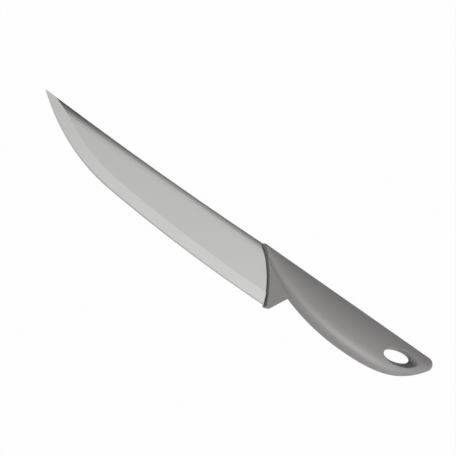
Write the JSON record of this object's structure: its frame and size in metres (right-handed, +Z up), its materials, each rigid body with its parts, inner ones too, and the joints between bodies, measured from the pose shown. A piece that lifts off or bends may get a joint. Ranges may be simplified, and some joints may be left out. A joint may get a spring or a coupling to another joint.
{
  "type": "carving knife",
  "caption": "Long carving knife with a wide ground bevel, a moulded soft grip with a flat guard behind the heel, and a hanging eye near the butt.",
  "frame": {"origin": "centre of the knife's box at its lowest level, with the knife lying on its side", "axes": "+X towards the butt and -X towards the tip, -Y towards the cutting edge, +Z up across the thickness"},
  "size_m": [0.3296, 0.0362, 0.019],
  "materials": {
    "blade_steel": "satin ground faces, brighter bevel",
    "core_plastic": "fine matt moulded grey",
    "grip_rubber": "smooth matt soft-touch grey"
  },
  "bodies": {
    "root": {"blade": "blade_steel", "handle_core": "core_plastic", "grip_cover": "grip_rubber"}
  },
  "joints": []
}
